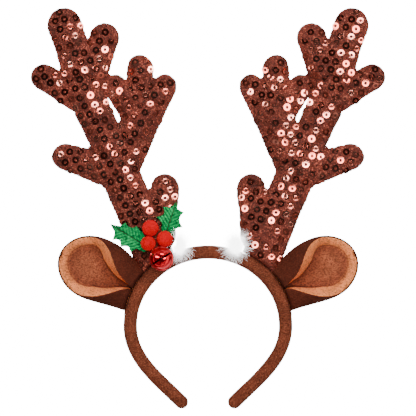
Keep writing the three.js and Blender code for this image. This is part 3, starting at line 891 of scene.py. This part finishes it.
def sequin_places(skin, seed):
    """Staggered rows of sequins over the front and back, each well within the cloth's outline."""
    rng = np.random.default_rng(seed)
    surface = BVHTree.FromObject(skin, bpy.context.evaluated_depsgraph_get())
    low = points_of(skin).min(0)
    high = points_of(skin).max(0)
    rows = int((high[1] - low[1] + 40) / SEQUIN_RISE)
    columns = int((high[0] - low[0]) / SEQUIN_PITCH) + 2
    above = 80.0

    def cast(x, y, side):
        """Where a ray from the front (side 1) or the back (side -1) meets the cloth, and the cloth's slope."""
        return surface.ray_cast(Vector((x, y, above * side)) * MM, Vector((0, 0, -side)))[:2]

    def around(x, y, reach):
        return [(x, y), (x + reach, y), (x - reach, y), (x, y + reach), (x, y - reach)]

    def broad_normal(x, y, side):
        """The cloth's slope over a wide spot, so that a stiff sequin doesn't follow each wrinkle."""
        total = np.zeros(3)
        for spot in around(x, y, 4.5):
            hit, normal = cast(*spot, side)
            if hit is not None:
                total += np.array(normal) * (1.0 if abs(normal.z) > 0.5 else 0.35)
        return total / max(np.linalg.norm(total), 1e-9)

    places = []
    ways = []
    for side, margin in ((1.0, 2.3), (-1.0, 3.6)):
        for row in range(rows):
            for column in range(columns):
                stagger = SEQUIN_PITCH / 2 if row % 2 else 0
                x = low[0] + column * SEQUIN_PITCH + stagger + rng.normal(0, 0.5)
                y = low[1] - 22 + row * SEQUIN_RISE + 0.16 * (x - low[0]) + rng.normal(0, 0.5)
                if all(cast(*spot, side)[0] for spot in around(x, y, margin)):
                    places.append(np.array(cast(x, y, side)[0]) / MM)
                    ways.append(broad_normal(x, y, side))
    ways = np.array(ways)
    under = ways[:, 2] < 0
    places = np.array(places) + ways * np.where(under, 0.1, 0.3)[:, None]
    flatten_beneath(places, ways, under)
    sprig = np.mean([middle_of(berry)[:2] for berry in BERRIES], axis=0)
    beside_sprig = np.hypot(places[:, 0] - sprig[0], places[:, 1] - sprig[1]) > 8.0
    free = (hoop_share(places) > 1.045) & (under | beside_sprig)
    return places[free], ways[free]


def flatten_beneath(places, ways, under):
    """Lays the sequins of the back flatter where a tilted one would reach below the floor."""
    slope = np.linalg.norm(ways[:, :2], axis=1)
    allowed = np.clip((places[:, 2] - 0.55) / (SEQUIN / 2), 0.0, 1.0)
    lying = under & (slope > allowed)
    ways[lying, :2] *= (allowed[lying] / slope[lying])[:, None]
    ways[lying, 2] = -np.sqrt(1 - allowed[lying] ** 2)


def build_antlers():
    skin = build_antler_skin()
    places, ways = sequin_places(skin, 21)
    tone = np.random.default_rng(22).random(len(places)) ** 2
    skins = {"antler_left": skin, "antler_right": mirror_piece(skin, "antler_right_stuffed")}
    for name, flip, tones, seed in (("antler_left", 1.0, tone, 5), ("antler_right", -1.0, tone[::-1], 6)):
        body = skins[name]
        body.name = name + "_stuffed"
        body.data.name = body.name
        sign = np.array([flip, 1.0, 1.0])
        sequins = scatter(
            name + "_sequins", places * sign, ways * sign, ring_sequin(), sequin_foil,
            0.07, 0.95, 1.05, seed, {"tone": tones},
        )
        finish_piece(body, "sequin_cloth", name, fill=0.85)
        finish_piece(sequins, "sequin_cloth")


# The ears: a folded outer cloth and a padded lining, both smooth walls of one folded form.
EAR_FOLDS = np.array([
    # share of the length, share of a half turn to the upper rim, and to the lower rim, depth of the cup
    (0.00, 0.992, 0.992, 0.55), (0.07, 0.985, 0.98, 0.62), (0.23, 0.945, 0.825, 0.82), (0.33, 0.875, 0.74, 0.93),
    (0.44, 0.745, 0.66, 1.0), (0.56, 0.635, 0.585, 0.98), (0.72, 0.52, 0.51, 0.85), (1.00, 0.44, 0.44, 0.45),
])
BORDER = np.array([
    # share of the length, width of the turned border at the upper and at the lower rim, how crisp its crease is
    (0.00, 0.3, 0.3, 1.0), (0.10, 1.5, 1.6, 1.0), (0.23, 3.6, 4.0, 1.0), (0.36, 6.0, 6.2, 1.0),
    (0.49, 8.6, 8.8, 0.95), (0.62, 7.2, 8.6, 0.55), (0.80, 7.0, 7.8, 0.2), (1.00, 7.2, 7.4, 0.08),
])


def fold(column, at):
    """A smooth reading of the fold table: straight stretches with their corners rounded off."""
    width = 0.05
    total = 0.0
    for shift, weight in ((-1, 0.25), (0, 0.5), (1, 0.25)):
        shifted = np.clip(at + shift * width, 0, 1)
        total = total + weight * np.interp(shifted, EAR_FOLDS[:, 0], EAR_FOLDS[:, column])
    return total


def rim_turn(at, part):
    """The angle from the ear's middle line round to its rim, on the side that part is on."""
    return np.where(part > 0, fold(1, at), fold(2, at)) * math.pi


def ear_half(at):
    widest = 0.54
    at = np.clip(at, 0, 1)
    low = (EAR_FOOT + (EAR_WIDTH - EAR_FOOT) * np.sin(math.pi / 2 * at / widest)) / 2
    high = EAR_WIDTH / 2 * np.sqrt(np.maximum(0, 1 - ((at - widest) / (1 - widest)) ** 2))
    return np.where(at < widest, low, high)


def ear_points(at, part, sink, inset):
    """Points of the folded form, sunk by a depth into the wall, in the ear's own axes."""
    turn = part * (rim_turn(at, part) - inset / (EAR_WIDTH / 2))
    cup = fold(3, at) * EAR_CUP
    half = np.maximum(0.06, ear_half(at) * (1 - sink / (EAR_WIDTH / 2)))
    bow = -EAR_LEAN * np.maximum(0, 1 - at / 0.45) ** 2
    depth = cup - np.maximum(0.5, cup - sink) * np.cos(turn)
    return np.stack([at * (EAR_LENGTH - sink), half * np.sin(turn) + bow, depth], axis=-1)


def border_place(points):
    """For points of the lining, seen from the front: how far inside the rim, and the nearest rim's height."""
    tip_rows = 0.8 + 0.197 * np.sin(np.linspace(0, 1, 90)[1:] * math.pi / 2)
    at = np.concatenate([np.linspace(0, 0.8, 220), tip_rows])
    upper, lower = (ear_points(at, np.full_like(at, side), LINING_SINK, LINING_INSET) for side in (1, -1))
    line = np.vstack([upper, lower])
    flat = points.reshape(-1, 3)
    away = np.empty(len(flat))
    height = np.empty(len(flat))
    batch = 4000
    for k in range(0, len(flat), batch):
        some = flat[k:k + batch, None]
        gap = np.hypot(some[..., 0] - line[None, :, 0], some[..., 1] - line[None, :, 1])
        near = gap.argmin(1)
        away[k:k + batch] = gap[np.arange(len(near)), near]
        height[k:k + batch] = line[near, 2]
    top = np.interp(flat[:, 0], upper[:, 0], upper[:, 1], left=-999, right=-999)
    bottom = np.interp(flat[:, 0], lower[:, 0], lower[:, 1], left=999, right=999)
    inside = (flat[:, 1] < top) & (flat[:, 1] > bottom)
    return np.where(inside, away, -away).reshape(points.shape[:-1]), height.reshape(points.shape[:-1])


def border_width(at, part):
    upper = np.interp(at, BORDER[:, 0], BORDER[:, 1])
    lower = np.interp(at, BORDER[:, 0], BORDER[:, 2])
    share = smooth_step((part + 0.25) / 0.5)
    return lower * (1 - share) + upper * share


def pad_border(points, at, part):
    """Raises the lining beside its rim into a padded border that ends in a crisp step down to the floor, and gives
    the masks of the border and of the painted shade beside it.
    """
    step_height = 2.4
    roll_height = 0.9
    inside, rim_height = border_place(points)
    width = border_width(at, part)
    crisp = np.interp(at, BORDER[:, 0], BORDER[:, 3])
    share = inside / width
    floor = np.abs(part * rim_turn(at, part)) < math.pi / 2
    level = points[..., 2]
    slope = np.clip(share, 0, 1)
    step = step_height * crisp * np.clip(width / 4, 0.3, 1)
    roll = (
        rim_height * (1 - slope) + (level + step) * slope
        + roll_height * crisp * np.sin(math.pi * slope)
    )
    raised = np.where(share < 1, np.maximum(roll, level), level)
    hidden = level + np.maximum(rim_height - 1.4 - level, 0) * np.exp(-(inside / 1.6) ** 2)
    out = points.copy()
    out[..., 2] = np.where(floor, np.where(inside > 0, raised, hidden), level)
    blur = 1 - crisp
    mask = np.where(floor, 1 - smooth_step((share - 1 + 0.7 * blur) / (0.05 + 1.1 * blur)), 1.0)
    # Painted shadow along the foot of the step, and how the floor's painted shade lifts away from the border.
    line = np.where(floor, np.exp(-((inside - width - 0.25) / 0.5) ** 2), 0.0) * (0.25 + 0.7 * crisp)
    shade_falloff = np.where(floor, smooth_step((inside - width) / 12.0), 0.0)
    return out, mask, line, shade_falloff


def ear_wall(name, sinks, inset, finish, padded=False):
    """A closed wall of cloth between two depths of the folded form, with a padded border if asked."""
    first, last, across = (-0.02, 0.997, 140) if padded else (-0.12, 1.0, 60)
    bend = 0.7
    near_rim = 0.72
    wave_seed = 31
    rows = np.concatenate([
        np.linspace(first, bend, 100)[:-1],
        bend + (last - bend) * np.sin(np.linspace(0, 1, 46) * math.pi / 2),
    ])
    strips = np.concatenate([
        np.linspace(-1, -near_rim, 16)[:-1],
        np.linspace(-near_rim, near_rim, across),
        np.linspace(near_rim, 1, 16)[1:],
    ])
    at, part = np.meshgrid(rows, strips, indexing="ij")
    outer, inner = (ear_points(at, part, sink, inset) for sink in sinks)
    mask = line = shade_falloff = np.zeros_like(at)
    if padded:
        inner, mask, line, shade_falloff = pad_border(inner, at, part)
    seat = hoop_edge(EAR_SEAT)
    points = turned(np.concatenate([outer.reshape(-1, 3), inner.reshape(-1, 3)]), math.radians(EAR_TILT), seat)
    wave = noise_at(points, 15, wave_seed) * 0.35 + noise_at(points, 5, wave_seed + 1) * 0.12
    points[:, 2] = points[:, 2] + np.minimum(wave, 0.2)
    points = seat_on_band(points, 0.3)
    points[:, 2] = np.maximum(points[:, 2], FLOOR_GAP)
    # The border mask and the painted shade masks: the crease's painted shadow and the floor's painted shade.
    masks = {"border": mask, "crease": line, "floor": shade_falloff}
    return mesh_object(
        name, points, sheet_faces(*at.shape), finish,
        attributes={key: np.tile(values.ravel(), 2) for key, values in masks.items()},
    )


def build_ears():
    shell = ear_wall("ear_shell_right_cloth", (0.0, EAR_CLOTH), 0.0, ear_cloth)
    lining = ear_wall(
        "ear_lining_right_cloth", (LINING_SINK, LINING_SINK + LINING_WALL), LINING_INSET, lining_cloth, True,
    )
    for piece, slot_name, kind in ((shell, "ear_cloth", "shell"), (lining, "lining_cloth", "lining")):
        other = mirror_piece(piece, f"ear_{kind}_left_cloth")
        finish_piece(piece, slot_name, f"ear_{kind}_right", fill=0.3)
        finish_piece(other, slot_name, f"ear_{kind}_left", fill=0.3)


# White fur puffs: a soft heart under thousands of fine curved strands.
BERRIES = ("berry_top", "berry_left", "berry_right")
FUR_HEARTS = {"fur_left": -26.0, "fur_right": 24.3}


def strand(length, width, bend, steps):
    """One tapered, bent fibre along z, whose attribute runs from its root to its tip."""
    sides = 3
    turn = np.arange(sides) / sides * FULL_TURN
    rings = []
    for at in np.arange(steps + 1) / steps:
        radius = width * (1 - at) ** 0.8 + 0.012
        middle = np.array([bend * length * at * at, 0.12 * length * math.sin(2.6 * at), length * at])
        rings.append(middle + np.stack([np.cos(turn) * radius, np.sin(turn) * radius, np.zeros(sides)], axis=1))
    points, faces = tube_rings(rings)
    along = np.concatenate([np.repeat(np.arange(steps + 1) / steps, sides), [0.0, 1.0]])
    return mesh_object("strand", points, faces, fur_white, attributes={"along": along})


def sprig_balls():
    """Centres and radii of the balls that the fur keeps clear of."""
    balls = []
    for name in ("bell", *BERRIES):
        low, high = box_mm(name)
        radius = (high - low)[0] / 2 + (3.0 if name == "berry_right" else 0.0)
        balls.append((np.array([*middle_of(name)[:2], high[2] - radius]), radius))
    return balls


def build_fur(node_name, seed):
    rng = np.random.default_rng(seed)
    clearance = 2.0
    heart = hoop_edge(111, 5.1)
    heart[0] = FUR_HEARTS[node_name]
    heart[2] = BAND_DEPTH - 1.02
    parts = []
    # fibres, their length, how far from the heart's middle they are rooted, their half width
    layers = ((1600, 5.8, 2.1, 0.062), (1400, 9.5, 2.0, 0.032), (900, 16.5, 1.8, 0.025))
    for layer, (count, length, reach, width) in enumerate(layers):
        ways = unit(rng.normal(size=(count * 3, 3)))
        ways = ways[ways[:, 2] > -0.25][:count]
        ways = unit(ways * (0.8, 1.3, 0.7) + rng.normal(0, 0.14, size=(len(ways), 3)))
        spots = heart + ways * reach
        free = np.ones(len(ways), dtype=bool)
        for centre, radius in sprig_balls():
            for share in (0.2, 0.4, 0.6, 0.8, 1.0):
                free &= np.linalg.norm(spots + ways * length * share - centre, axis=1) > radius + clearance
        parts.append(scatter(
            f"{node_name}_strands_{layer}", spots[free], ways[free], strand(length, width, 0.14, 4), fur_white,
            0.25, 0.5, 1.0, seed + layer, {"tone": rng.random(int(free.sum()))},
        ))
    points, faces = icosphere(3)
    lumps = 1 + 0.12 * noise_at(points * 10, 6, seed)
    # The heart takes the roots' grey: painted shade in the middle of the puff.
    ball = mesh_object(
        node_name + "_heart", heart + points * (2.2, 3.6, 3.2) * lumps[:, None], faces, fur_white,
        attributes={"along": np.zeros(len(points)), "tone": np.full(len(points), 0.6)},
    )
    return join(node_name + "_puff", [ball, *parts])


# Pompom berries: a dense ball of short cut fibres.
def build_berry(node_name, seed):
    low, high = box_mm(node_name)
    centre = middle_of(node_name)
    radius = (high - low).mean() / 2
    if node_name == "berry_right":
        # in the photograph this berry is a little larger than its solid
        radius *= 1.1
        centre[0] += 0.8
    rng = np.random.default_rng(seed)
    ways = unit(rng.normal(size=(2400, 3)))
    points, faces = icosphere(4)
    lumps = 1 + 0.03 * noise_at(points * 10, 3, seed)
    core = mesh_object(
        node_name + "_core", centre + points * (radius * 0.93) * lumps[:, None], faces, pompom_red,
        attributes={"tone": np.full(len(points), 0.55)},
    )
    fibres = scatter(
        node_name + "_fibres", centre + ways * (radius * 0.84), ways, strand(2.1, 0.2, 0.12, 2), pompom_red,
        0.3, 0.75, 1.1, seed, {"tone": rng.random(len(ways)) ** 2},
    )
    return join(node_name + "_pompom", [core, fibres])


# Holly leaves: thin folded foil with sharp spikes and embossed ribs. Feet and tips are measured from the
# antler's seat in bell diameters; an outline goes from foot to tip, as shares of the length: at, reach.
LEAVES = {
    "leaf_outer": {
        "length": 41.4, "foot": (-0.32, 0.5), "tip": (-1.954, 1.496),
        "one": [
            (0, 0.05), (0.08, 0.14), (0.2, 0.15), (0.26, 0.16), (0.32, 0.29), (0.42, 0.21),
            (0.56, 0.3), (0.66, 0.19), (0.79, 0.265), (0.835, 0.1), (1, 0.008),
        ],
        "other": [(0, 0.05), (0.34, 0.22), (0.5, 0.265), (0.6, 0.165), (0.75, 0.2), (0.8, 0.085), (1, 0.008)],
    },
    "leaf_upper": {
        "length": 30.6, "foot": (0.3, 1.08), "tip": (0.745, 2.41),
        "one": [
            (0, 0.05), (0.1, 0.165), (0.3, 0.22), (0.4, 0.43),
            (0.54, 0.23), (0.74, 0.32), (0.825, 0.07), (1, 0.008),
        ],
        "other": [
            (0, 0.2), (0.05, 0.27), (0.24, 0.22), (0.36, 0.41),
            (0.55, 0.24), (0.78, 0.31), (0.82, 0.1), (1, 0.008),
        ],
    },
}


def leaf_reach(outline, at):
    for (a, low), (b, high) in zip(outline, outline[1:]):
        if at <= b:
            part = (at - a) / (b - a)
            return (low + (high - low) * part) * (1 - 0.08 * math.sin(math.pi * part))
    return outline[-1][1]


def build_leaf(node_name, seed):
    spec = LEAVES[node_name]
    length = spec["length"]
    foil = 0.45
    rib_period = 3.5
    columns = 41
    corners = {at for at, _ in spec["one"] + spec["other"]}
    marks = sorted({*np.linspace(0, 1, 120).tolist(), *corners})
    top = []
    rib = []
    midrib = []
    for at in marks:
        for side in np.linspace(-1, 1, columns):
            reach = max(leaf_reach(spec["one"] if side > 0 else spec["other"], at) * length, 0.3)
            offset = abs(side) * reach
            folded = 1.6 * abs(side) * (reach / (0.35 * length))
            arch = 0.06 * length * math.sin(math.pi * at)
            line = (at * length - offset * 0.9) / rib_period + (0.5 if side > 0 else 0.0)
            ribbed = (abs((line % 1.0) - 0.5) * 2) ** 3.5 * min(1.0, offset / 0.8)
            central = max(0.0, 1 - offset / 0.75)
            top.append((at * length, side * reach, folded + arch - 0.42 * ribbed - 0.4 * central))
            rib.append(ribbed)
            midrib.append(central)
    seat = hoop_edge(ANTLER_SEAT)[:2]
    foot, tip = (seat + np.array(spec[key]) * BELL_DIAMETER for key in ("foot", "tip"))
    turn = math.atan2(tip[1] - foot[1], tip[0] - foot[0])
    placed = turned(np.vstack([np.array(top) + (0, 0, foil), top]), turn, foot)
    placed[:, 2] += box_mm(node_name)[0][2] + 0.5
    placed[:, 2] += noise_at(placed * (1, 1, 0), 9, seed) * 0.35
    # The rib and midrib masks mark the grooves that the foil's painted shade darkens.
    return mesh_object(
        node_name + "_foil", placed, sheet_faces(len(marks), columns), holly_foil,
        attributes={"rib": np.array(rib * 2), "midrib": np.array(midrib * 2)},
    )


# The jingle bell: two pressed halves with a rolled seam, a slit across the front and a loop behind.
BELL_BEAD = 1.35
BELL_FLATTENING = 0.65
BELL_WALL = 2.1
SLIT_HALF = 9.5
SLIT_TURN = 32.0
PELLET_RADIUS = 3.0


def pressed_shell(radius):
    """The bell's outside: a ball flattened front to back, with a bead around its middle that is painted paler as a
    reflection.
    """
    sides = 128
    turn = np.arange(sides) / sides * FULL_TURN
    rings = []
    worn = []
    for angle in np.linspace(-math.pi / 2, math.pi / 2, 97)[1:-1]:
        bead = math.sqrt(max(0.0, 1 - (angle / 0.1) ** 2))
        wide = (radius - BELL_BEAD + BELL_BEAD * bead) * math.cos(angle)
        level = np.full(sides, (radius - BELL_FLATTENING) * math.sin(angle))
        rings.append(np.stack([wide * np.cos(turn), wide * np.sin(turn), level], axis=1))
        # The bead's share, by which the bell's colour is painted paler as a reflection.
        worn.append(bead)
    points, faces = tube_rings(rings)
    worn = np.concatenate([np.repeat(worn, sides), [0, 0]])
    return mesh_object("bell_metal_shell", points, faces, bell_metal, attributes={"worn": worn})


def slit_cutter():
    """A bar with rounded narrow ends that cuts the slit through the bell's front."""
    round_off = 0.8
    outline = []
    for end in (1, -1):
        for angle in np.linspace(-math.pi / 2, math.pi / 2, 13):
            along = SLIT_HALF - round_off + round_off * math.cos(angle)
            outline.append((end * along, end * 0.85 * math.sin(angle)))
    bars = [turned(np.array([(x, y, z) for x, y in outline]), math.radians(SLIT_TURN)) for z in (1.0, 20.0)]
    points, faces = tube_rings(bars)
    return mesh_object("slit", points, faces, bell_inside_shade, smooth=False)


def build_bell_shell(centre):
    radius = BELL_DIAMETER / 2
    shell = pressed_shell(radius)
    points, faces = icosphere(5)
    # The hollow and the slit's walls take the inside's painted shade.
    hollow = mesh_object("hollow", points * (radius - BELL_WALL), faces, bell_inside_shade)
    tools = (hollow, slit_cutter())
    for thing in tools:
        cut = shell.modifiers.new("Cut", "BOOLEAN")
        cut.operation = "DIFFERENCE"
        cut.object = thing
        cut.solver = "EXACT"
        cut.material_mode = "TRANSFER"
    baked(shell)
    for thing in tools:
        bpy.data.objects.remove(thing)
    set_points(shell, points_of(shell) + centre)
    return shell


def build_bell_loop(place):
    """The ring of wire behind the bell, by which it is sewn on."""
    wire = 0.4
    reach = 1.1
    turn = np.arange(12) / 12 * FULL_TURN
    rings = []
    for around in np.linspace(0, FULL_TURN, 33)[:-1]:
        out = np.array([math.cos(around), 0, math.sin(around)])
        rings.append(out * (reach + wire * np.cos(turn))[:, None] + np.array([0, wire, 0]) * np.sin(turn)[:, None])
    points = np.concatenate(rings)
    return mesh_object(
        "bell_loop", points + place, grid_faces(len(rings), len(turn), True, True), bell_metal,
        attributes={"worn": np.zeros(len(points))},
    )


def build_bell():
    low, high = box_mm("bell")
    middle = middle_of("bell")[:2]
    shell = build_bell_shell((*middle, high[2] - BELL_DIAMETER / 2 + BELL_FLATTENING))
    loop = build_bell_loop((*middle, low[2] + 1.5))
    points, faces = icosphere(4)
    pellet = mesh_object(
        "bell_pellet_ball", middle_of("bell_pellet") + points * PELLET_RADIUS, faces, pellet_steel,
    )
    finish_piece(shell, "bell_metal", "bell")
    finish_piece(loop, "bell_metal")
    finish_piece(pellet, "steel", "bell_pellet")


finish_piece(build_band(), "velour", "band", fill=0.9)
build_antlers()
build_ears()
for fur_name, fur_seed in (("fur_left", 41), ("fur_right", 47)):
    finish_piece(build_fur(fur_name, fur_seed), "fur", fur_name)
for berry_name, berry_seed in zip(BERRIES, (51, 52, 53)):
    finish_piece(build_berry(berry_name, berry_seed), "pompom", berry_name)
for leaf_name, leaf_seed in (("leaf_outer", 61), ("leaf_upper", 62)):
    finish_piece(build_leaf(leaf_name, leaf_seed), "foil", leaf_name)
build_bell()


# The surface it lies on, the light and the camera.
STUDIO_WHITE = 16.0


def build_floor():
    made, tree, shader = material("Floor White", 0.9)
    put(tree, shader, {"Base Color": tint(0.9, 0.9, 0.9)})
    camera_glow(tree, shader, STUDIO_WHITE)
    half = 1800
    points = [(-half, -half, 0), (half, -half, 0), (half, half, 0), (-half, half, 0)]
    mesh_object("floor", points, [(0, 1, 2, 3)], made, smooth=False)


def build_world():
    """White behind the camera, soft light all round, and in reflections dark above and brighter to one side."""
    world = bpy.data.worlds.new("Studio")
    bpy.context.scene.world = world
    world.use_nodes = True
    tree = world.node_tree
    tree.nodes.clear()
    rays = node(tree, "ShaderNodeLightPath").outputs
    way = node(tree, "ShaderNodeTexCoord").outputs["Generated"]
    aim = node(tree, "ShaderNodeSeparateXYZ", {0: way}).outputs
    low_down = span(tree, aim[2], 0.86, 0.45)
    to_right = span(tree, aim[0], -0.8, 0.7, 0.16, 0.75)
    panes = span(tree, cloud(tree, 3.2, Vector=way, Detail=2.0), 0.46, 0.62, 0.25, 2.6)
    room = maths(tree, "MULTIPLY", maths(tree, "MULTIPLY", low_down, to_right), panes)

    def backdrop(colour, strength):
        return node(tree, "ShaderNodeBackground", {0: colour, 1: strength}).outputs[0]

    def choose(ray, if_not, if_so):
        return node(tree, "ShaderNodeMixShader", {0: rays[ray], 1: if_not, 2: if_so}).outputs[0]

    soft = backdrop(tint(1.0, 0.98, 0.96), 0.55)
    mirrored = backdrop(tint(1.0, 0.95, 0.92), scaled(tree, room, 1.0, 0.012))
    unseen = choose("Is Glossy Ray", soft, mirrored)
    white = backdrop(tint(0.8, 0.8, 0.8), STUDIO_WHITE)
    node(tree, "ShaderNodeOutputWorld", {0: choose("Is Camera Ray", unseen, white)})


def area_light(name, place, width, height, power, glossy=True, diffuse=True):
    """A rectangular light in metres and watts, turned to the headband."""
    data = bpy.data.lights.new(name, "AREA")
    data.shape = "RECTANGLE"
    data.size = width
    data.size_y = height
    data.energy = power
    made = bpy.data.objects.new(name, data)
    made.location = place
    made.rotation_euler = (-Vector(place)).to_track_quat("-Z", "Y").to_euler()
    made.visible_glossy = glossy
    made.visible_diffuse = diffuse
    bpy.context.scene.collection.objects.link(made)


def build_camera():
    """Straight above, so that the view is 0.37024 m wide at 2.59 m, the height of the headband's front."""
    data = bpy.data.cameras.new("camera")
    data.sensor_width = 36
    data.lens = data.sensor_width * 2.59 / 0.37024
    data.clip_end = 20
    made = bpy.data.objects.new("camera", data)
    made.location = (0.0, 0.00012, 2.6)
    bpy.context.scene.collection.objects.link(made)
    bpy.context.scene.camera = made


build_floor()
build_world()
area_light("overhead", (0.05, 0.7, 1.5), 1.2, 1.2, 25, glossy=False)
area_light("box_right", (0.88, 0.1, 1.4), 0.36, 1.7, 34, diffuse=False)
area_light("box_left", (-1.25, 0.45, 1.1), 0.34, 1.1, 18, diffuse=False)
area_light("box_top", (0.15, 1.25, 0.95), 0.9, 0.22, 8, diffuse=False)
build_camera()

bpy.context.view_layer.update()
